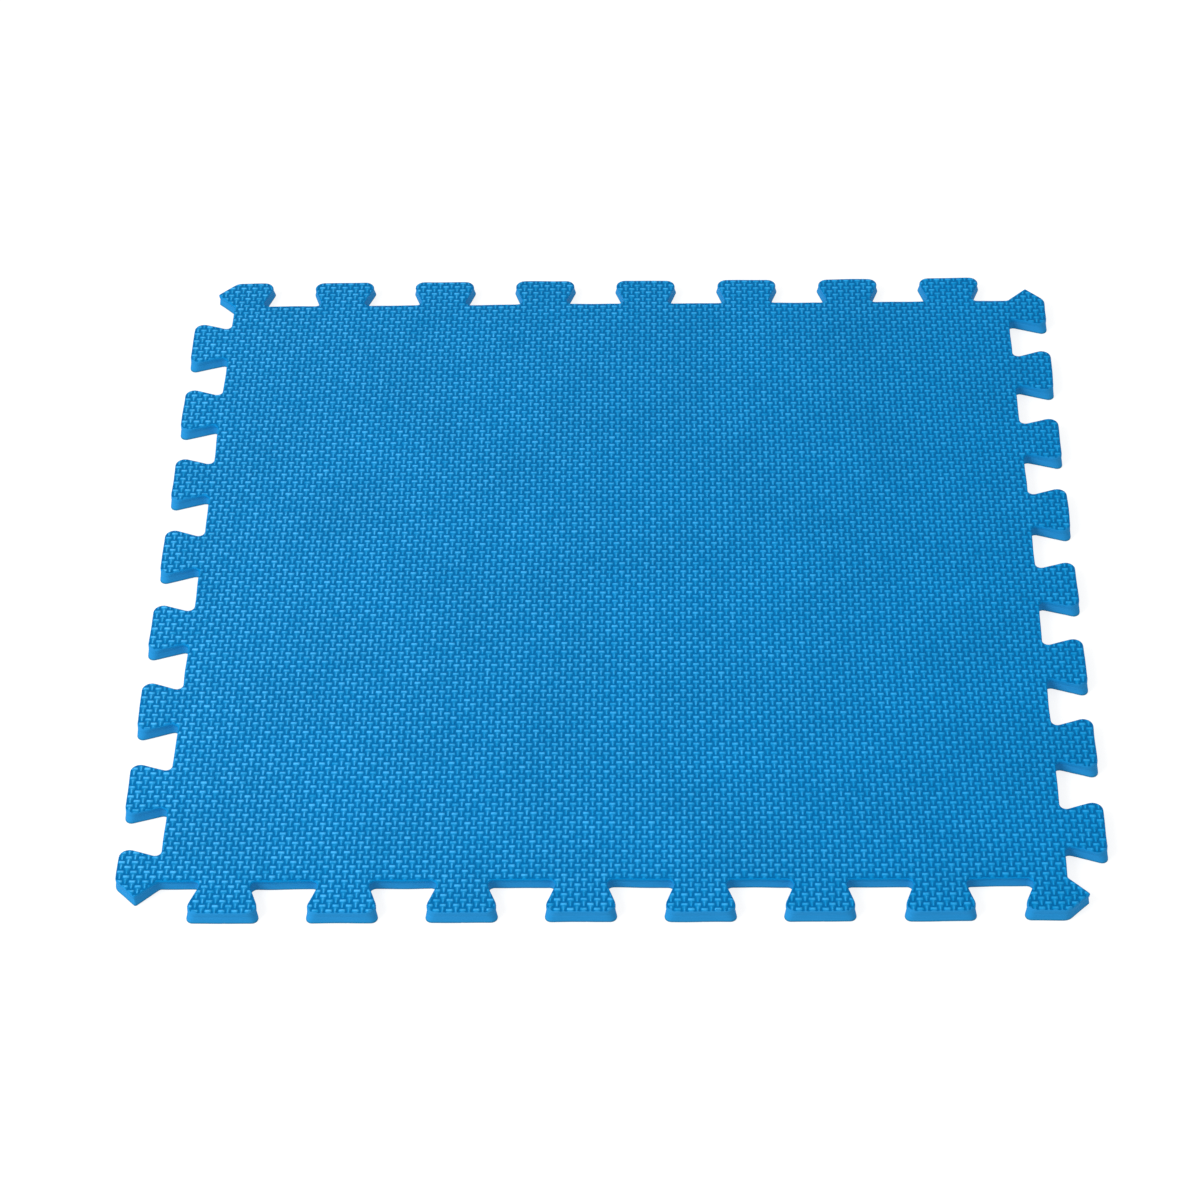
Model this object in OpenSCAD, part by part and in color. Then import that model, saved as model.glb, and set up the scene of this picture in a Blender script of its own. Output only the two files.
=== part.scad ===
// Interlocking foam blocking mat: one square tile with dovetailed tabs on all four sides.
// The origin is the centre of the underside, +Z is up, and the front side faces -Y.
// Going round the tile anticlockwise, every side starts with a gap and ends with a corner tab,
// so the tile looks the same after a quarter turn, and any side locks into any side of another tile.

/* [Tile] */
// Side of the square that one tile covers in a field of joined tiles
tile_pitch = 600; // [500:25:900]
// Number of tabs on each side, the corner tab included
tabs_per_side = 8; // [6:1:9]

/* [Tabs] */
// Depth of a tab, from the body edge to the flat of its head
tab_depth = 27.5; // [20:0.5:30]
// How far a flank leans out between its root and its head
flank_lean = 9.6; // [4:0.1:11]
// Radius of the two corners of a tab's head
head_r = 5.5; // [2:0.1:8]
// Radius of the two corners where a tab meets the body
root_r = 4; // [1.5:0.1:5]
// Growth of each flank past an exact fit, which makes the joint a light squeeze
squeeze = 0.8; // [0:0.1:1]

/* [Corner tab] */
// Radius where the head of the corner tab turns into its slanted side
slant_r = 8; // [2:0.5:8]
// Radius of the tip, which meets three other tiles
tip_r = 1.2; // [1.1:0.1:2]
// Radius of the inner corner between the tip's second side and the body edge
body_corner_r = 3; // [1.2:0.1:3]

/* [Thickness] */
// Thickness of the whole mat
mat_t = 10; // [8:0.5:20]
// Thickness of the denser embossed skin on the work face
top_skin_t = 1.2; // [0.8:0.1:2]
// Thickness of the denser skin on the underside
base_skin_t = 1; // [0.8:0.1:2]
// How far the soft core pulls in behind the cut edges of the two skins
core_pinch = 0.5; // [0:0.1:1]

/* [Hidden] */
SIDES = 4;
// Straight steps in each arc of the outline
ARC_STEPS = 6;
foam_blue = [0.082, 0.514, 0.765];
core_blue = [0.157, 0.549, 0.784];
base_blue = [0.071, 0.471, 0.722];
core_t = mat_t - top_skin_t - base_skin_t;
tab_pitch = tile_pitch / tabs_per_side;
half_depth = tab_depth / 2;
half_lean = flank_lean / 2;
// Half the width of a tab on the line where two joined tiles meet
half_tab = tab_pitch / 4 + squeeze;
// Angle of a flank away from straight out
flank_angle = atan(flank_lean / tab_depth);
// Angle inside a head corner, which is also the open angle at a root corner
corner_angle = 90 - flank_angle;
// Angle inside the corner tab's slanted head, which is also the open angle at the body corner
slant_angle = 135;

// Distance from a corner of the given angle to where a rounding of radius r starts
function tangent(r, angle) = r / tan(angle / 2);

// The outline is worked out in the frame of one side: x runs along the side from the corner of the
// pitch square, and y points outward from the line where two joined tiles meet. Every corner of it
// is an arc, and straight lines join the arcs. Moving the whole outline outward by grow keeps the
// arcs' centres and changes only their radii.
function arc(centre, r, from, to) = [
    for (i = [0:ARC_STEPS])
        let (a = from + (to - from) * i / ARC_STEPS)
        centre + r * [cos(a), sin(a)]
];
function mirrored(points) = [for (i = [len(points) - 1:-1:0]) [-points[i].x, points[i].y]];
function shifted(points, x) = [for (p = points) p + [x, 0]];

// Centres of the root and head roundings on a tab's first flank, from the tab's own middle
root_centre = [half_lean - half_tab - tangent(root_r, corner_angle), root_r - half_depth];
head_centre = [tangent(head_r, corner_angle) - half_tab - half_lean, half_depth - head_r];

// First flank of a tab, from the body edge out to the head
function flank(grow) = concat(
    arc(root_centre, root_r - grow, -90, flank_angle),
    arc(head_centre, head_r + grow, 180 + flank_angle, 90)
);

// Middle of a tab along the side
function tab_middle(i) = (i + 0.75) * tab_pitch;

// Corner tab: its head slants at 45 degrees to a square tip on the corner of the pitch square, and the
// next side starts with a slant back from that tip to the body edge
slant_centre = [tile_pitch - half_depth - tangent(slant_r, slant_angle), half_depth - slant_r];
tip_centre = [tile_pitch - tip_r / sin(45), 0];
body_corner_centre = [half_depth + tangent(body_corner_r, slant_angle), body_corner_r - half_depth];

// One whole side, from the body corner at its start to the tip at its end
function side_points(grow) = concat(
    arc(body_corner_centre, body_corner_r - grow, -slant_angle, -90),
    [for (i = [0:tabs_per_side - 2]) each shifted(concat(flank(grow), mirrored(flank(grow))), tab_middle(i))],
    shifted(flank(grow), tab_middle(tabs_per_side - 1)),
    arc(slant_centre, slant_r + grow, 90, 45),
    arc(tip_centre, tip_r + grow, 45, -45)
);

// From a side's frame to the tile's: the front side first, then a quarter turn for each further side
function on_tile(p, side) =
    let (x = p.x - tile_pitch / 2, y = -tile_pitch / 2 - p.y, a = side * 90)
    [x * cos(a) - y * sin(a), x * sin(a) + y * cos(a)];

// The cut outline of the mat, moved outward by grow
module mat_outline(grow = 0) {
    polygon([for (side = [0:SIDES - 1]) for (p = side_points(grow)) on_tile(p, side)]);
}

// Heat-formed skin of the work face, level with the tops of its raised dashes
module embossed_top_skin() {
    color(foam_blue)
        translate([0, 0, mat_t - top_skin_t])
            linear_extrude(top_skin_t)
                mat_outline();
}

// Closed-cell foam between the skins, pinched in a little by the cutting die
module foam_core() {
    color(core_blue)
        translate([0, 0, base_skin_t])
            linear_extrude(core_t)
                mat_outline(-core_pinch);
}

// Heat-formed skin that the mat lies on
module base_skin() {
    color(base_blue)
        linear_extrude(base_skin_t)
            mat_outline();
}

embossed_top_skin();
foam_core();
base_skin();
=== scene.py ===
"""Looks of one interlocking foam blocking mat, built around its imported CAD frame.

Sizes are in millimetres, apart from the camera's and the light's, which are in metres like Blender's meshes.
The mat's three bonded layers are closed meshes: the embossed skin of the work face, made in four quarters,
the soft core with its pinched cut wall, and the grained skin of the underside.
"""
import math

import bpy
import numpy as np
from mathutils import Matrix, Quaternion, Vector


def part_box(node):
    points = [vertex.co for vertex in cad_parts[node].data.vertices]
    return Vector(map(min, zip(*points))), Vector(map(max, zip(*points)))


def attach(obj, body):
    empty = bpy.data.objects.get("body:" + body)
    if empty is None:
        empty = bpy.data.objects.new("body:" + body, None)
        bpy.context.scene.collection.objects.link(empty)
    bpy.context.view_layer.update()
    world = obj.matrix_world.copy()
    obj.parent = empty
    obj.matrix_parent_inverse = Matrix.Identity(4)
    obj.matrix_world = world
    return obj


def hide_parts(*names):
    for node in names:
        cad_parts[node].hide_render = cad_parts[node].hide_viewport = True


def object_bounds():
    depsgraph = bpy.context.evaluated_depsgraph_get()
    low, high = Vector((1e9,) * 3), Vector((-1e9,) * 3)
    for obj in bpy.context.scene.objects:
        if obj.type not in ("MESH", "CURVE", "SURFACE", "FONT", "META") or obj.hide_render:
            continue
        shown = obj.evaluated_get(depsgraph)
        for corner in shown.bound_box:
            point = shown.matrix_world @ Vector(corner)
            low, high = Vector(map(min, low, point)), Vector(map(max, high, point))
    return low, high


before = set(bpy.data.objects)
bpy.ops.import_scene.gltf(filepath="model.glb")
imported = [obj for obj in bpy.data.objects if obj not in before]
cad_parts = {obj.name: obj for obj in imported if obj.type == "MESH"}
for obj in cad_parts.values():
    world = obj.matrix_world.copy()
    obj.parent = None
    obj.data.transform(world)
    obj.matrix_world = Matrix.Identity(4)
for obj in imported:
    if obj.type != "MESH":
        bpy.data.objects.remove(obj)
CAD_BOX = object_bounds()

MM = 0.001
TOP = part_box("embossed_top_skin")[1].z / MM
SKIN_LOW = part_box("embossed_top_skin")[0].z / MM
CORE_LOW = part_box("foam_core")[0].z / MM
HALF_SPAN = CAD_BOX[1].x / MM

# Outline, as in part.scad
TABS_PER_SIDE = 8
TAB_DEPTH = 27.5
FLANK_LEAN = 9.6
HEAD_R = 5.5
ROOT_R = 4.0
SQUEEZE = 0.8
SLANT_R = 8.0
TIP_R = 1.2
BODY_CORNER_R = 3.0
SLANT_ANGLE = 135
ARC_STEPS = 6
TILE_PITCH = 2 * HALF_SPAN - TAB_DEPTH
TAB_PITCH = TILE_PITCH / TABS_PER_SIDE

# Cut wall: the die rounds the tabs more at the top of the foam, and cuts them deeper at its foot
HEAD_R_ABOVE = 6.6
HEAD_R_BELOW = 4.1
DEPTH_ABOVE = TAB_DEPTH - 0.4
DEPTH_BELOW = TAB_DEPTH + 1.2
WALL_STEP = 3.0  # longest stretch of wall between two columns of its mesh
WANDER = 0.09  # height of each wave by which the cut line strays
WANDER_WAVES = (37, 58, 91, 143)  # how often each of them repeats on the way round
# Rounded edge of the work face: depths below its top (the last is above it), and how far in the wall is set
SHOULDER = ((0.9, 0.04), (0.62, 0.18), (0.38, 0.42), (0.18, 0.8), (0.02, 1.35), (-0.4, 1.9))
# Rounded edge of the underside: heights (the first is below it), and how far in the wall is set
FOOT_EDGE = ((-0.3, 1.3), (0.0, 0.75), (0.12, 0.42), (0.34, 0.14), (0.62, 0.02))
OVERRUN = 1.0  # how far an uncut skin runs past the inner face of the cut one

# Core's wall, pinched in between the two skins
PINCH_ON_HEADS = 0.4
PINCH_BETWEEN_TABS = 1.0
PINCH_ROUNDNESS = 1.2  # power of the sine that shapes it
CREASE = 0.6  # share of the core's height at which a crease runs along the wall
CREASE_WIDTH = 0.09
CREASE_SHARE = 0.38  # how much of the pinch is the crease's
CORE_RINGS = 14

# Raised dashes of the work face: one to a cell, lying along X and along Y by turns
CELL = np.array([4.2, 4.1])
ACROSS_SIZE = (4.6, 2.5)  # foot of a dash along X: its length and width
ALONG_SIZE = (4.8, 1.75)  # foot of a dash along Y
ALONG_SHIFT = 0.3  # a dash along Y lies this much towards the dash behind it
ALONG_TAPER = 0.16  # and its front end is narrower by this share
BRIDGE = 0.3  # height above the groove at which it runs into the dash behind it
DASH_SLOPE = 0.38  # from a dash's foot in to the edge of its top
DASH_CORNER = 0.4  # chamfer on the corners of its top
DASH_RIDGE = 1.3  # from the ends of its top in to the ends of its crown
GROOVE_Z = TOP - 0.6
SHOULDER_Z = TOP - 0.19
PIT_Z = GROOVE_Z - 0.1
DASH_STRAY = 0.07  # most that a dash's place strays
DASH_SWELL = 0.03  # standard deviation of a dash's height
CROWN_SWELL = 0.05  # and of each end of its crown besides
ACROSS_HIGHLIGHT = 1.03  # how strongly the crown of a dash along X gets its painted highlight
ALONG_HIGHLIGHT = 0.87  # and that of a dash along Y, which gets less painted highlight
DASH_TONE = 0.06  # standard deviation of both
MOST_RELIEF_SHADE = 1.2  # cap on how much painted highlight a dash's height alone gives it

# A dash's points, in order: those at its foot, those round its top, two on its crown, and one that joins it
# to a stem
FOOT_POINTS = 4
TOP_POINTS = 8
CROWN_RIGHT = FOOT_POINTS + TOP_POINTS
CROWN_LEFT = CROWN_RIGHT + 1
BRIDGE_POINT = CROWN_LEFT + 1
DASH_POINTS = BRIDGE_POINT + 1

# The z of a face's normal beyond which it counts as level, and below which as upright
LEVEL = 0.9
UPRIGHT = 0.01

# Grain of the underside
GRAIN_STEP = 2.2  # from a crossing of its ridges to the next dip
GRAIN_DIP = 0.2

# How far the long and the short waves of uneven foam move it, sideways and in height
LONG_LEAN = 0.25
SHORT_LEAN = 0.12
LONG_SWELL = 0.10
SHORT_SWELL = 0.05

# Linear colours
# Painted shade: the colour of the grooves
GROOVE_SHADE_BLUE = (0.0, 0.118, 0.325)
# Dash colours and the crowns' painted highlights, paler and greyer to the left: a painted highlight that
# fades to the right
DASH_BLUE_LEFT = (0.006, 0.215, 0.485)
DASH_BLUE_RIGHT = (0.001, 0.213, 0.504)
CROWN_HIGHLIGHT_LEFT = (0.062, 0.400, 0.770)
CROWN_HIGHLIGHT_RIGHT = (0.017, 0.300, 0.640)
WALL_BLUE = (0.016, 0.215, 0.495)
WALL_DEEP = (0.011, 0.200, 0.465)
# Painted shade on the upper part of the wall between the tabs
RECESS_SHADE_BLUE = (0.0, 0.198, 0.486)
# Painted contact shadow along the wall's foot
FOOT_SHADOW_BLUE = (0.006, 0.141, 0.258)
BASE_BLUE = (0.003, 0.165, 0.390)
# Painted shade in the dips of the underside's grain
DIP_SHADE_BLUE = (0.0, 0.095, 0.250)

rng = np.random.default_rng(7)


# ---------------------------------------------------------------- outline

def turned(angle):
    return np.array([math.cos(math.radians(angle)), math.sin(math.radians(angle))])


def tangent(r, angle):
    """Distance from a corner of the given angle to where a rounding of radius r starts."""
    return r / math.tan(math.radians(angle) / 2)


def arc(centre, r, start, end):
    angles = [start + (end - start) * i / ARC_STEPS for i in range(ARC_STEPS + 1)]
    return [np.array(centre) + r * turned(angle) for angle in angles]


def mirrored(points):
    return [np.array([-p[0], p[1]]) for p in reversed(points)]


def side_points(grow, head_r, depth):
    """One side of the outline, moved outward by grow, in its own frame: x runs along it, and y points out."""
    half_depth, half_lean = depth / 2, FLANK_LEAN / 2
    half_tab = TAB_PITCH / 4 + SQUEEZE
    lean = math.degrees(math.atan(FLANK_LEAN / depth))
    corner = 90 - lean
    root = (half_lean - half_tab - tangent(ROOT_R, corner), ROOT_R - half_depth)
    head = (tangent(head_r, corner) - half_tab - half_lean, half_depth - head_r)
    body_corner = (half_depth + tangent(BODY_CORNER_R, SLANT_ANGLE), BODY_CORNER_R - half_depth)
    slant = (TILE_PITCH - half_depth - tangent(SLANT_R, SLANT_ANGLE), half_depth - SLANT_R)
    tip = (TILE_PITCH - TIP_R / math.sin(math.radians(45)), 0)
    flank = arc(root, ROOT_R - grow, -90, lean) + arc(head, head_r + grow, 180 + lean, 90)
    points = arc(body_corner, BODY_CORNER_R - grow, -SLANT_ANGLE, -90)
    for i in range(TABS_PER_SIDE):
        is_corner_tab = i == TABS_PER_SIDE - 1
        tab = flank if is_corner_tab else flank + mirrored(flank)
        points += [p + np.array([(i + 0.75) * TAB_PITCH, 0]) for p in tab]
    points += arc(slant, SLANT_R + grow, 90, 45) + arc(tip, TIP_R + grow, 45, -45)
    return np.array(points)


def outline(grow=0.0, head_r=HEAD_R, depth=TAB_DEPTH):
    """The whole cut line, anticlockwise from above."""
    side = side_points(grow, head_r, depth)
    front = np.column_stack([side[:, 0] - TILE_PITCH / 2, -TILE_PITCH / 2 - side[:, 1]])
    return np.vstack([front @ np.array([turned(a), turned(a + 90)]) for a in (0, 90, 180, 270)])


def closed_steps(points):
    """Lengths of a closed line's stretches."""
    return np.linalg.norm(np.roll(points, -1, 0) - points, axis=1)


def divided(points, counts):
    """The closed line with each stretch cut into counts equal steps."""
    after = np.roll(points, -1, 0)
    return np.vstack([p + (q - p) * np.arange(n)[:, None] / n for p, q, n in zip(points, after, counts)])


def cut_line():
    """Points of the cut line at the foam's foot and at its top, the unit direction into the foam at each, and
    the share of the way round."""
    line = outline()
    inward = outline(-1.0) - line
    counts = np.maximum(1, np.ceil(closed_steps(line) / WALL_STEP)).astype(int)
    foot = divided(outline(head_r=HEAD_R_BELOW, depth=DEPTH_BELOW), counts)
    top = divided(outline(head_r=HEAD_R_ABOVE, depth=DEPTH_ABOVE), counts)
    inward = divided(inward, counts)
    share = np.cumsum(closed_steps(top)) / closed_steps(top).sum()
    wander = sum(WANDER * np.sin(2 * math.pi * (k * share + rng.random())) for k in WANDER_WAVES)
    stray = wander[:, None] * inward
    return foot + stray, top + stray, inward, share


FOOT_LINE, TOP_LINE, INWARD, SHARE = cut_line()


def ring(z, inset):
    """The cut line at height z, moved in by inset, which may differ from point to point."""
    rise = min(max(z / TOP, 0), 1)
    flat = FOOT_LINE + rise * (TOP_LINE - FOOT_LINE) + np.broadcast_to(inset, len(INWARD))[:, None] * INWARD
    return np.column_stack([flat, np.full(len(flat), z)])


def between_tabs(points):
    """0 on the tabs' heads and 1 on the body's edge between them."""
    return np.clip((HALF_SPAN - np.abs(points[:, :2]).max(1)) / TAB_DEPTH, 0, 1)


# ---------------------------------------------------------------- meshes

def new_mesh(name, points, faces):
    mesh = bpy.data.meshes.new(name)
    mesh.from_pydata((np.asarray(points) * MM).tolist(), [], faces)
    mesh.validate()
    return mesh


def new_object(name, data):
    made = bpy.data.objects.new(name, data)
    bpy.context.scene.collection.objects.link(made)
    return made


def give_materials(mesh, materials):
    mesh.materials.clear()
    for material in materials:
        mesh.materials.append(material)


def vertex_places(mesh):
    points = np.empty(len(mesh.vertices) * 3, np.float32)
    mesh.vertices.foreach_get("co", points)
    return points.reshape(-1, 3).astype(float) / MM


def face_vectors(mesh, what):
    """Each face's normal, or its center in metres."""
    vectors = np.empty(len(mesh.polygons) * 3, np.float32)
    mesh.polygons.foreach_get(what, vectors)
    return vectors.reshape(-1, 3)


def store(mesh, name, values):
    """Keeps a value for each vertex, for the materials to read."""
    mesh.attributes.new(name, "FLOAT", "POINT").data.foreach_set("value", values.astype(np.float32))


def stacked(rings):
    """A closed mesh of rings one above another, lowest first, with a flat face at each end."""
    n = len(rings[0])
    k = np.arange(n)
    after = np.roll(k, -1)
    faces = []
    for level in range(len(rings) - 1):
        low, high = level * n, (level + 1) * n
        faces += np.column_stack([low + k, low + after, high + after, high + k]).tolist()
    faces.append(list(range(n))[::-1])
    faces.append(list(range((len(rings) - 1) * n, len(rings) * n)))
    return np.vstack(rings), faces


def slab(points, faces, flat_z):
    """The sheet made into a closed slab, with a skirt round its border and a flat face at height flat_z."""
    used, faces = np.unique(faces, return_inverse=True)
    faces = faces.reshape(-1, 3)
    points = points[used]
    n = len(points)
    edges = np.vstack([faces[:, [0, 1]], faces[:, [1, 2]], faces[:, [2, 0]]])
    key, reversed_key = edges[:, 0] * n + edges[:, 1], edges[:, 1] * n + edges[:, 0]
    border = edges[~np.isin(key, reversed_key)]
    after = dict(border.tolist())
    loop = [int(border[0, 0])]
    while after[loop[-1]] != loop[0]:
        loop.append(after[loop[-1]])
    assert len(loop) == len(border), "the sheet has one border"
    lower = points[loop].copy()
    lower[:, 2] = flat_z
    k = np.arange(len(loop))
    k_after = np.roll(k, -1)
    upper = np.array(loop)
    skirt = np.column_stack([upper[k_after], upper[k], n + k, n + k_after])
    bottom = (n + k[::-1]).tolist()
    return np.vstack([points, lower]), faces.tolist() + skirt.tolist() + [bottom]


def cutting_die(rings, materials):
    """A closed solid to cut a skin with, whose cut faces get the second material."""
    die = new_object("die", new_mesh("die", *stacked(rings)))
    give_materials(die.data, materials)
    die.data.polygons.foreach_set("material_index", np.ones(len(die.data.polygons), np.int32))
    return die


def cut_skin(name, points, faces, flat_z, die, materials):
    """What the die leaves of the slab made from a sheet, as a new mesh."""
    whole = new_object("uncut", new_mesh("uncut", *slab(points, faces, flat_z)))
    give_materials(whole.data, materials)
    cut = whole.modifiers.new("cut", "BOOLEAN")
    cut.operation = "INTERSECT"
    cut.solver = "MANIFOLD"
    cut.object = die
    bpy.context.view_layer.update()
    mesh = bpy.data.meshes.new_from_object(whole.evaluated_get(bpy.context.evaluated_depsgraph_get()))
    bpy.data.objects.remove(whole)
    mesh.name = name
    return mesh


def settle(mesh):
    """Foam is never dead true: long and short waves, whose lengths and phases are arbitrary, move it a few
    tenths of a millimetre this way and that."""
    x, y, z = vertex_places(mesh).T
    lean_x = LONG_LEAN * np.sin(y / 47 + 0.6) + SHORT_LEAN * np.sin(y / 19 + x / 90)
    lean_y = LONG_LEAN * np.sin(x / 53 + 2.1) + SHORT_LEAN * np.sin(x / 23 + y / 80)
    swell = LONG_SWELL * np.sin(x / 61 + 1.3) * np.sin(y / 74 + 0.4) + SHORT_SWELL * np.sin(x / 17 + y / 29)
    moved = np.column_stack([x + lean_x, y + lean_y, z + np.clip(z / TOP, 0, 1) * swell])
    mesh.vertices.foreach_set("co", (moved * MM).astype(np.float32).ravel())
    mesh.update()


def smooth(mesh, sharpest=75):
    """Smooth shading, apart from edges that turn by more than sharpest degrees."""
    mesh.shade_smooth()
    mesh.set_sharp_from_angle(angle=math.radians(sharpest))


def planar_uv(mesh, hidden, margin=0.02, corner=0.015):
    """Lays the faces out as seen from above, and the hidden ones small in a corner."""
    where = vertex_places(mesh)[:, :2]
    low, high = where.min(0), where.max(0)
    flat = (where - low) / (high - low).max()
    vertex = np.empty(len(mesh.loops), np.int32)
    mesh.loops.foreach_get("vertex_index", vertex)
    total = np.empty(len(mesh.polygons), np.int32)
    mesh.polygons.foreach_get("loop_total", total)
    small = np.repeat(hidden, total)[:, None]
    uv = np.where(small, flat[vertex] * corner, margin + flat[vertex] * (1 - 2 * margin))
    mesh.uv_layers.new(name="OFBake").data.foreach_set("uv", uv.astype(np.float32).ravel())


# ---------------------------------------------------------------- embossed work face

def dash_points(size):
    """Points of one dash along X."""
    a, d = np.array(size) / 2
    ta, td, c = a - DASH_SLOPE, d - DASH_SLOPE, DASH_CORNER
    r = ta - DASH_RIDGE
    foot = [(a, -d), (a, d), (-a, d), (-a, -d)]
    top = [(ta, -td + c), (ta, td - c), (ta - c, td), (c - ta, td)]
    top += [(-ta, td - c), (-ta, c - td), (c - ta, -td), (ta - c, -td)]
    points = [(x, y, GROOVE_Z) for x, y in foot] + [(x, y, SHOULDER_Z) for x, y in top]
    crown = [(r, 0, TOP), (-r, 0, TOP)]
    return np.array(points + crown + [(0, -d, GROOVE_Z + BRIDGE)])


def dash_along_y():
    """A dash turned to lie along Y, set back, narrower in front, and high at its back end."""
    length = ALONG_SIZE[0]
    x, y, z = dash_points(ALONG_SIZE).T
    x, y = -y, x
    x = x * (1 - ALONG_TAPER * (0.5 - y / length))
    z = np.where(np.isclose(y, length / 2), z + BRIDGE, z)
    return np.column_stack([x, y + ALONG_SHIFT, z])


def dash_faces(bridged):
    """Triangles of one dash; a bridged one has its bridge point in the middle of its front foot."""
    faces = []
    for k in range(FOOT_POINTS):
        foot_a, foot_b = k, (k + 1) % FOOT_POINTS
        top_a, top_b = FOOT_POINTS + 2 * foot_a, FOOT_POINTS + 2 * foot_b
        faces += [(foot_a, foot_b, top_a + 1), (foot_a, top_a + 1, top_a), (foot_b, top_b, top_a + 1)]
    right, left = CROWN_RIGHT, CROWN_LEFT
    # Which ends of the crown each edge of the top is joined to
    joins = [(right,), (right,), (right, left), (left,), (left,), (left,), (left, right), (right,)]
    for k, ends in enumerate(joins):
        top_a, top_b = FOOT_POINTS + k, FOOT_POINTS + (k + 1) % TOP_POINTS
        faces.append((top_a, top_b, ends[-1]))
        if len(ends) == 2:
            faces.append((top_a, ends[1], ends[0]))
    if bridged:
        foot_right, foot_left, top_left, top_right = 0, 3, 10, 11
        faces.remove((foot_left, foot_right, top_right))
        faces.remove((foot_left, top_right, top_left))
        faces.append((foot_left, BRIDGE_POINT, top_left))
        faces.append((BRIDGE_POINT, top_right, top_left))
        faces.append((BRIDGE_POINT, foot_right, top_right))
    return np.array(faces)


def strayed_dashes(centres, along_y):
    """Points of the dashes round the centres, each strayed a little in place and height."""
    centres = centres + rng.uniform(-DASH_STRAY, DASH_STRAY, centres.shape)
    swell = rng.normal(0, DASH_SWELL, len(centres))
    points = np.where(along_y[:, None, None], dash_along_y(), dash_points(ACROSS_SIZE))
    points[:, :, :2] += centres[:, None, :]
    points[:, FOOT_POINTS:, 2] += swell[:, None]
    points[:, CROWN_RIGHT:BRIDGE_POINT, 2] += rng.normal(0, CROWN_SWELL, (len(centres), 2))
    return points.reshape(-1, 3)


def dash_triangles(cells, along_y):
    """Triangles of the cells' dashes, and each triangle's cell. The stem of a dash along Y runs into the dash
    along X behind it, so that one is bridged."""
    faces, owner = [], []
    for turned_dashes in (False, True):
        one = dash_faces(bridged=not turned_dashes)
        chosen = cells[along_y[cells] == turned_dashes]
        faces.append((one[None] + chosen[:, None, None] * DASH_POINTS).reshape(-1, 3))
        owner.append(np.repeat(chosen, len(one)))
    return np.vstack(faces), np.concatenate(owner)


def groove_triangles(here, rows, along_y, pit):
    """Triangles of the pit at the back right of each cell here, and of the strips to its right and behind it;
    each triangle's cell; and the foot points round each pit."""

    # A foot point by where it lies in its cell: 0 front right, 1 back right, 2 back left, 3 front left
    def foot(cell, place):
        return cell * DASH_POINTS + (place + 3 * along_y[cell]) % FOOT_POINTS

    right, back, far = here + rows, here + 1, here + rows + 1
    round_pit = [foot(here, 1), foot(right, 2), foot(far, 3), foot(back, 0)]
    beside = [foot(here, 0), foot(right, 3), foot(right, 2), foot(here, 1)]
    behind = [foot(here, 2), foot(here, 1), foot(back, 0), foot(back, 3)]
    bridge = back * DASH_POINTS + BRIDGE_POINT
    stem = along_y[here]
    every = np.full(len(here), True)
    strips = [(round_pit[k], round_pit[(k + 1) % 4], pit, every) for k in range(4)]
    strips += [(beside[0], beside[k], beside[k + 1], every) for k in (1, 2)]
    strips += [(behind[0], behind[k], behind[k + 1], ~stem) for k in (1, 2)]
    strips += [(behind[k], behind[k + 1], bridge, stem) for k in (0, 1)]
    strips.append((behind[0], bridge, behind[3], stem))
    faces = np.vstack([np.column_stack([a, b, c])[chosen] for a, b, c, chosen in strips])
    owner = np.concatenate([here[chosen] for a, b, c, chosen in strips])
    return faces, owner, round_pit


def relief():
    """The embossed sheet over a square wider than the mat: its points and triangles, whether each triangle is
    in the right half and in the back half, and how strongly each cell's dash gets its painted highlight."""
    columns, rows = (2 * np.ceil(HALF_SPAN / CELL) + 3).astype(int)
    i, j = (index.ravel() for index in np.meshgrid(np.arange(columns), np.arange(rows), indexing="ij"))
    along_y = (i + j) % 2 == 1
    middle = np.array([columns - 1, rows - 1]) / 2
    points = strayed_dashes((np.column_stack([i, j]) - middle) * CELL, along_y)
    here = np.flatnonzero((i < columns - 1) & (j < rows - 1))
    on_dashes, dash_owner = dash_triangles(here, along_y)
    pit = len(points) + np.arange(len(here))
    in_grooves, groove_owner, round_pit = groove_triangles(here, rows, along_y, pit)
    pits = sum(points[corner] for corner in round_pit) / len(round_pit)
    pits[:, 2] = PIT_Z
    owner = np.concatenate([dash_owner, groove_owner])
    at_right, at_back = i[owner] >= columns // 2, j[owner] >= rows // 2
    # Painted highlight strength of each dash: dashes along X get more than dashes along Y, each with a random
    # spread
    highlight_strength = rng.normal(np.where(along_y, ALONG_HIGHLIGHT, ACROSS_HIGHLIGHT), DASH_TONE).reshape(columns, rows)
    return np.vstack([points, pits]), np.vstack([on_dashes, in_grooves]), at_right, at_back, highlight_strength


def relief_shade(mesh, highlight_strength):
    """Stores the painted shade and highlight: 0, darkest, in the grooves, about 1, palest, on the dashes'
    crowns.
    """
    x, y, z = vertex_places(mesh).T
    cells = np.array(highlight_strength.shape)
    place = np.column_stack([x, y - ALONG_SHIFT]) / CELL + (cells - 1) / 2
    column, row = np.clip(np.rint(place).astype(int), 0, cells - 1).T
    rise = np.clip((z - GROOVE_Z) / (TOP - GROOVE_Z), 0, MOST_RELIEF_SHADE)
    store(mesh, "relief_shade", rise * highlight_strength[column, row])


def unseen(mesh):
    """Which faces lie against the core or against the next quarter of the skin."""
    normals, centres = face_vectors(mesh, "normal"), face_vectors(mesh, "center")
    faces_down = normals[:, 2] < -LEVEL
    upright = np.abs(normals[:, 2]) < UPRIGHT
    near_seam = np.abs(centres[:, :2]).min(1) < CELL.max() * MM
    return faces_down | (upright & near_seam)


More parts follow.
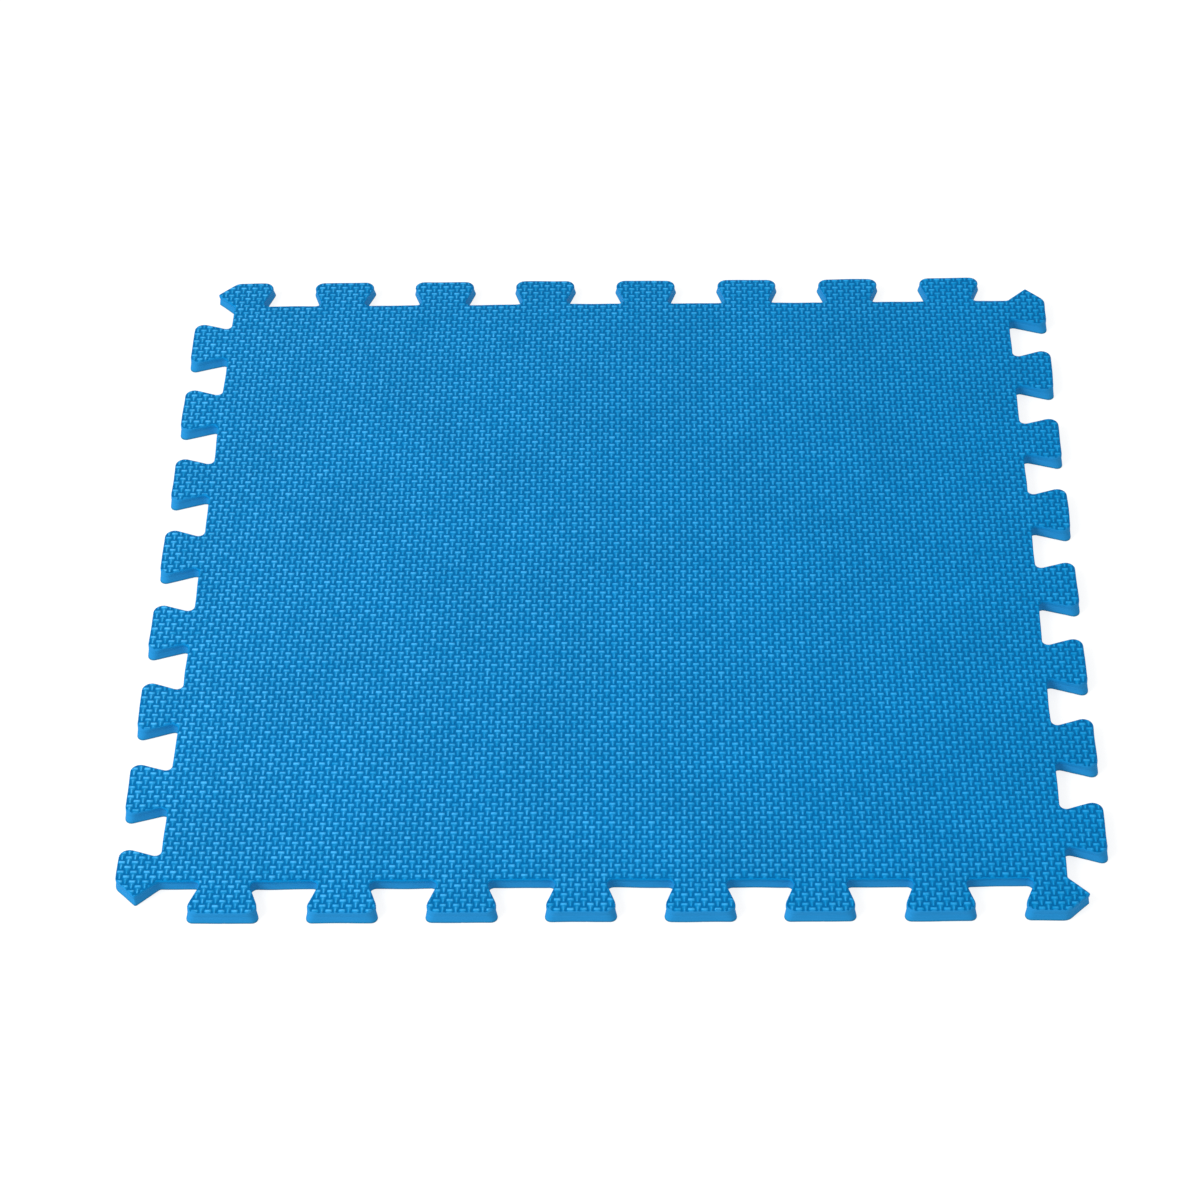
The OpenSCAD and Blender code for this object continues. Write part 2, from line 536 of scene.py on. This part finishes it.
def embossed_skin(materials):
    """The skin of the work face in four quarters, whose seams run in grooves."""
    points, faces, at_right, at_back, highlight_strength = relief()
    rings = [ring(SKIN_LOW, 0.0)] + [ring(TOP - depth, inset) for depth, inset in SHOULDER]
    die = cutting_die(rings, materials)
    made = []
    for name, right, back in (("front_left", False, False), ("front_right", True, False),
                              ("back_right", True, True), ("back_left", False, True)):
        quarter = faces[(at_right == right) & (at_back == back)]
        mesh = cut_skin("embossed_skin_" + name, points, quarter, SKIN_LOW - OVERRUN, die, materials)
        hidden = unseen(mesh)
        # Each point's painted shade and highlight, from its height
        relief_shade(mesh, highlight_strength)
        # Where the wall between the tabs gets painted shade
        store(mesh, "recess_shade", between_tabs(vertex_places(mesh)))
        settle(mesh)
        smooth(mesh)
        planar_uv(mesh, hidden)
        made.append(new_object(mesh.name, mesh))
    bpy.data.objects.remove(die)
    return made


# ---------------------------------------------------------------- core and underside

def wall_uv(mesh, rows=16, side_margin=0.02, row_margin=0.08):
    """Lays the wall out in rows, one above another, and the two flat faces small in a corner."""
    corner, shrunk, half_square = 0.002, 0.005, 0.4
    n = len(INWARD)
    points = vertex_places(mesh) * MM
    low, high = points[:, 2].min(), points[:, 2].max()
    start = np.concatenate([[0.0], SHARE[:-1]])
    uv = np.zeros((len(mesh.loops), 2), np.float32)
    for face in mesh.polygons:
        if face.loop_total > 4:
            for k in face.loop_indices:
                uv[k] = corner + (points[mesh.loops[k].vertex_index][:2] + half_square) * shrunk
            continue
        column = face.index % n
        row = min(rows - 1, int(start[column] * rows))
        for k in face.loop_indices:
            v = mesh.loops[k].vertex_index
            share = 1.0 if (v % n == 0 and column == n - 1) else start[v % n]
            along = min(max(share * rows - row, 0.0), 1.0)
            height = (points[v][2] - low) / (high - low)
            across = side_margin + (1 - 2 * side_margin) * along
            uv[k] = (across, (row + row_margin + (1 - 2 * row_margin) * height) / rows)
    mesh.uv_layers.new(name="OFBake").data.foreach_set("uv", uv.ravel())


def foam_core(material):
    """The soft core, whose cut wall is pinched in, more between the tabs than on their heads."""
    depth = PINCH_ON_HEADS + (PINCH_BETWEEN_TABS - PINCH_ON_HEADS) * between_tabs(TOP_LINE)
    rings = []
    for share in np.linspace(0, 1, CORE_RINGS):
        bow = math.sin(math.pi * share) ** PINCH_ROUNDNESS
        crease = math.exp(-((share - CREASE) / CREASE_WIDTH) ** 2)
        pinch = (1 - CREASE_SHARE) * bow + CREASE_SHARE * crease
        rings.append(ring(CORE_LOW + share * (SKIN_LOW - CORE_LOW), depth * pinch))
    mesh = new_mesh("foam_core_wall", *stacked(rings))
    # Where the wall between the tabs gets painted shade
    store(mesh, "recess_shade", between_tabs(vertex_places(mesh)))
    settle(mesh)
    smooth(mesh)
    wall_uv(mesh)
    give_materials(mesh, [material])
    return new_object(mesh.name, mesh)


def grained_sheet():
    """The underside's fine waffle: ridges along X and Y that lie on the floor, with a dip amid each four. Its
    triangles face down."""
    half = HALF_SPAN + 3 * GRAIN_STEP
    n = int(half * math.sqrt(2) / GRAIN_STEP)
    a, b = np.meshgrid(np.arange(-n, n + 1), np.arange(-n, n + 1), indexing="ij")
    on_ridge = (a + b) % 2 == 0
    x = (a - b) * GRAIN_STEP / math.sqrt(2)
    y = (a + b) * GRAIN_STEP / math.sqrt(2)
    points = np.column_stack([x.ravel(), y.ravel(), np.where(on_ridge, 0.0, GRAIN_DIP).ravel()])
    size = 2 * n + 1
    first = (np.arange(size - 1)[:, None] * size + np.arange(size - 1)[None]).ravel()
    quads = np.column_stack([first, first + 1, first + size + 1, first + size])
    quads = np.where(on_ridge.ravel()[first][:, None], quads, np.roll(quads, -1, 1))
    quads = quads[np.abs(points[quads][:, :, :2]).max(axis=(1, 2)) < half]
    return points, np.vstack([quads[:, [2, 1, 0]], quads[:, [3, 2, 0]]])


def base_skin(materials):
    """The grained skin of the underside, with its lower edge rounded."""
    points, faces = grained_sheet()
    die = cutting_die([ring(z, inset) for z, inset in FOOT_EDGE] + [ring(CORE_LOW, 0.0)], materials)
    mesh = cut_skin("base_skin_grained", points, faces, CORE_LOW + OVERRUN, die, materials)
    bpy.data.objects.remove(die)
    against_core = face_vectors(mesh, "normal")[:, 2] > LEVEL
    settle(mesh)
    smooth(mesh)
    planar_uv(mesh, against_core)
    return new_object(mesh.name, mesh)


# ---------------------------------------------------------------- materials

class Nodes:
    """A small writer of shader nodes for one material."""

    def __init__(self, name):
        self.material = bpy.data.materials.new(name)
        self.material.use_nodes = True
        self.tree = self.material.node_tree
        self.tree.nodes.clear()
        self.shader = self.add("ShaderNodeBsdfPrincipled")
        out = self.add("ShaderNodeOutputMaterial")
        self.link(self.shader.outputs[0], out.inputs["Surface"])
        self.place = self.add("ShaderNodeTexCoord").outputs["Object"]

    def add(self, kind, **settings):
        node = self.tree.nodes.new(kind)
        for key, value in settings.items():
            setattr(node, key, value)
        return node

    def link(self, source, target):
        self.tree.links.new(source, target)

    def stored(self, name):
        """A value that store() kept on the mesh."""
        return self.add("ShaderNodeAttribute", attribute_name=name).outputs["Fac"]

    def noise(self, size, detail=2, stretch=(1, 1, 1)):
        """Noise round 0.5 whose spots are about size millimetres across."""
        mapping = self.add("ShaderNodeMapping")
        mapping.inputs["Scale"].default_value = stretch
        self.link(self.place, mapping.inputs["Vector"])
        noise = self.add("ShaderNodeTexNoise")
        noise.inputs["Scale"].default_value = 1 / (size * MM)
        noise.inputs["Detail"].default_value = detail
        self.link(mapping.outputs[0], noise.inputs["Vector"])
        return noise.outputs["Fac"]

    def cells(self, size):
        """Distance to the nearest foam cell's middle, for cells about size millimetres across."""
        cells = self.add("ShaderNodeTexVoronoi")
        cells.inputs["Scale"].default_value = 1 / (size * MM)
        self.link(self.place, cells.inputs["Vector"])
        return cells.outputs["Distance"]

    def rescaled(self, source, low, high, to_low, to_high):
        """What lies from low to high, spread from to_low to to_high."""
        node = self.add("ShaderNodeMapRange")
        for key, value in zip(("From Min", "From Max", "To Min", "To Max"), (low, high, to_low, to_high)):
            node.inputs[key].default_value = value
        self.link(source, node.inputs["Value"])
        return node.outputs[0]

    def spread(self, noise, to_low, to_high):
        """The usual range of a noise, spread from to_low to to_high."""
        return self.rescaled(noise, 0.3, 0.7, to_low, to_high)

    def along(self, axis, low, high):
        """0 at the place low on an axis and 1 at the place high, in millimetres."""
        split = self.add("ShaderNodeSeparateXYZ")
        self.link(self.place, split.inputs[0])
        return self.rescaled(split.outputs[axis], low * MM, high * MM, 0, 1)

    def product(self, first, second):
        node = self.add("ShaderNodeMath", operation="MULTIPLY")
        self.link(first, node.inputs[0])
        self.link(second, node.inputs[1])
        return node.outputs[0]

    def weighted_sum(self, first, second, weight):
        """The first plus weight times the second."""
        node = self.add("ShaderNodeMath", operation="MULTIPLY_ADD")
        self.link(second, node.inputs[0])
        node.inputs[1].default_value = weight
        self.link(first, node.inputs[2])
        return node.outputs[0]

    def mix(self, share, first, second):
        """A colour between two, each a linear colour or another node's output."""
        node = self.add("ShaderNodeMix", data_type="RGBA")
        self.link(share, node.inputs["Factor"])
        for value, socket in ((first, node.inputs[6]), (second, node.inputs[7])):
            if isinstance(value, tuple):
                socket.default_value = (*value, 1)
            else:
                self.link(value, socket)
        return node.outputs[2]

    def scaled(self, colour, amount):
        """The colour times a grey amount."""
        node = self.add("ShaderNodeMix", data_type="RGBA", blend_type="MULTIPLY")
        node.inputs["Factor"].default_value = 1.0
        self.link(colour, node.inputs[6])
        self.link(amount, node.inputs[7])
        return node.outputs[2]

    def ramp(self, share, *stops):
        """A colour that runs through the stops, each a place and a linear colour, in order."""
        node = self.add("ShaderNodeValToRGB")
        elements = node.color_ramp.elements
        while len(elements) < len(stops):
            elements.new(0.5)
        last = stops[-1][0]
        for element, (place, colour) in zip(elements, stops):
            element.position = place / last
            element.color = (*colour, 1)
        self.link(self.rescaled(share, 0, last, 0, 1), node.inputs["Fac"])
        return node.outputs["Color"]

    def bump(self, height, depth):
        """Bumps up to depth millimetres high."""
        node = self.add("ShaderNodeBump")
        node.inputs["Strength"].default_value = 1.0
        node.inputs["Distance"].default_value = depth * MM
        self.link(height, node.inputs["Height"])
        self.link(node.outputs[0], self.shader.inputs["Normal"])

    def finish(self, colour, roughness, specular):
        self.link(colour, self.shader.inputs["Base Color"])
        self.link(roughness, self.shader.inputs["Roughness"])
        self.shader.inputs["Specular IOR Level"].default_value = specular
        return self.material


def skin_foam():
    """Heat-formed skin, with painted shade in the grooves and painted highlights on the crowns, stronger to
    the left.
    """
    nodes = Nodes("embossed_skin_foam")
    # Noise that makes the painted shade and highlights uneven within each dash
    highlight_noise = nodes.spread(nodes.noise(size=2.3, detail=1), 0.82, 1.18)
    shade = nodes.product(nodes.stored("relief_shade"), highlight_noise)
    groove, slope, crown = 0.08, 0.55, 1.05
    left = nodes.ramp(shade, (groove, GROOVE_SHADE_BLUE), (slope, DASH_BLUE_LEFT), (crown, CROWN_HIGHLIGHT_LEFT))
    right = nodes.ramp(shade, (groove, GROOVE_SHADE_BLUE), (slope, DASH_BLUE_RIGHT), (crown, CROWN_HIGHLIGHT_RIGHT))
    # Painted highlight: paler to the left, fading to the right
    pattern = nodes.mix(nodes.along("X", -HALF_SPAN, HALF_SPAN), left, right)
    clouds = nodes.spread(nodes.noise(size=70), 0.95, 1.03)
    specks = nodes.spread(nodes.noise(size=1.3, detail=3), -1, 1)
    mottle = nodes.weighted_sum(clouds, specks, weight=0.04)
    pores = nodes.weighted_sum(nodes.noise(size=0.45, detail=3), nodes.cells(size=0.3), weight=0.3)
    nodes.bump(pores, depth=0.03)
    roughness = nodes.spread(nodes.noise(size=2.5), 0.5, 0.62)
    return nodes.finish(nodes.scaled(pattern, mottle), roughness, specular=0.03)


def cut_foam():
    """The die's cut through the closed cells: finely pored, with faint streaks along the wall. Between the
    tabs its upper part gets painted shade, and near the floor it gets a darker band of painted contact
    shadow."""
    nodes = Nodes("cut_core_foam")
    streaks = nodes.spread(nodes.noise(size=14, stretch=(1, 1, 30)), 0, 1)
    colour = nodes.mix(streaks, WALL_DEEP, WALL_BLUE)
    # Painted shade: the upper part of the wall between the tabs is darker
    recess_shade_share = nodes.product(nodes.stored("recess_shade"), nodes.along("Z", 5.6, 7.0))
    colour = nodes.mix(recess_shade_share, colour, RECESS_SHADE_BLUE)
    # Painted contact shadow: darker towards the floor
    colour = nodes.mix(nodes.along("Z", 2.0, 0.5), colour, FOOT_SHADOW_BLUE)
    mottle = nodes.rescaled(nodes.cells(size=0.55), 0, 0.8, 1.03, 0.95)
    nodes.bump(nodes.cells(size=0.5), depth=0.04)
    roughness = nodes.spread(nodes.noise(size=3), 0.58, 0.7)
    return nodes.finish(nodes.scaled(colour, mottle), roughness, specular=0.04)


def base_foam():
    """Underside skin, with painted shade in the dips of its grain."""
    nodes = Nodes("base_skin_foam")
    clouds = nodes.spread(nodes.noise(size=45), 0, 0.2)
    colour = nodes.mix(clouds, BASE_BLUE, WALL_DEEP)
    # Painted shade: darker in the grain's dips
    colour = nodes.mix(nodes.along("Z", 0, GRAIN_DIP), colour, DIP_SHADE_BLUE)
    mottle = nodes.spread(nodes.noise(size=1.1, detail=3), 0.95, 1.03)
    nodes.bump(nodes.noise(size=0.5, detail=3), depth=0.04)
    roughness = nodes.spread(nodes.noise(size=4), 0.6, 0.72)
    return nodes.finish(nodes.scaled(colour, mottle), roughness, specular=0.03)


# ---------------------------------------------------------------- scene

def make_camera(target, azimuth, elevation, distance, roll, lens):
    """A camera that looks at the target from the given side and height, in degrees."""
    a, e = math.radians(azimuth), math.radians(elevation)
    forward = Vector((-math.sin(a) * math.cos(e), math.cos(a) * math.cos(e), -math.sin(e)))
    data = bpy.data.cameras.new("camera")
    data.lens = lens
    data.sensor_width = 36
    data.clip_end = 100
    camera = new_object("camera", data)
    camera.rotation_mode = "QUATERNION"
    camera.location = Vector(target) - forward * distance
    camera.rotation_quaternion = Quaternion(forward, math.radians(roll)) @ forward.to_track_quat("-Z", "Y")
    bpy.context.scene.camera = camera


def make_floor(radius=14000, sides=96, gap=0.15):
    """A pale round floor just under the mat. It gives off some light, so that it is white from everywhere."""
    angles = np.arange(sides) * 2 * math.pi / sides
    rim = np.column_stack([radius * np.cos(angles), radius * np.sin(angles), np.full(sides, -gap)])
    floor = new_object("floor", new_mesh("floor", rim, [list(range(sides))]))
    nodes = Nodes("pale_floor")
    nodes.shader.inputs["Base Color"].default_value = (0.25, 0.25, 0.25, 1)
    nodes.shader.inputs["Roughness"].default_value = 0.9
    nodes.shader.inputs["Specular IOR Level"].default_value = 0.0
    nodes.shader.inputs["Emission Color"].default_value = (1, 1, 1, 1)
    nodes.shader.inputs["Emission Strength"].default_value = 0.8
    give_materials(floor.data, [nodes.material])


def make_light(name, place, size, power):
    """A round light that shines at the mat's middle."""
    data = bpy.data.lights.new(name, "AREA")
    data.shape = "DISK"
    data.size = size
    data.energy = power
    light = new_object(name, data)
    light.location = place
    light.rotation_mode = "QUATERNION"
    light.rotation_quaternion = (-Vector(place)).to_track_quat("-Z", "Y")


def make_world(strength):
    world = bpy.data.worlds.new("studio")
    world.use_nodes = True
    background = world.node_tree.nodes["Background"]
    background.inputs["Color"].default_value = (1, 1, 1, 1)
    background.inputs["Strength"].default_value = strength
    bpy.context.scene.world = world
    bpy.context.scene.view_settings.view_transform = "Standard"


make_camera(target=(-0.0104, -0.0323, TOP * MM), azimuth=1.95, elevation=43.64, distance=2.507, roll=1.66,
            lens=110.8)
make_floor()
make_world(strength=0.8)
make_light("key", place=(-2.3, -1.4, 2.1), size=2.2, power=100)

cut = cut_foam()
skins = embossed_skin([skin_foam(), cut])
core = foam_core(cut)
base = base_skin([base_foam(), cut])

for piece in skins:
    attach(piece, "root")
    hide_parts("embossed_top_skin")
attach(core, "root")
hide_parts("foam_core")
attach(base, "root")
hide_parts("base_skin")
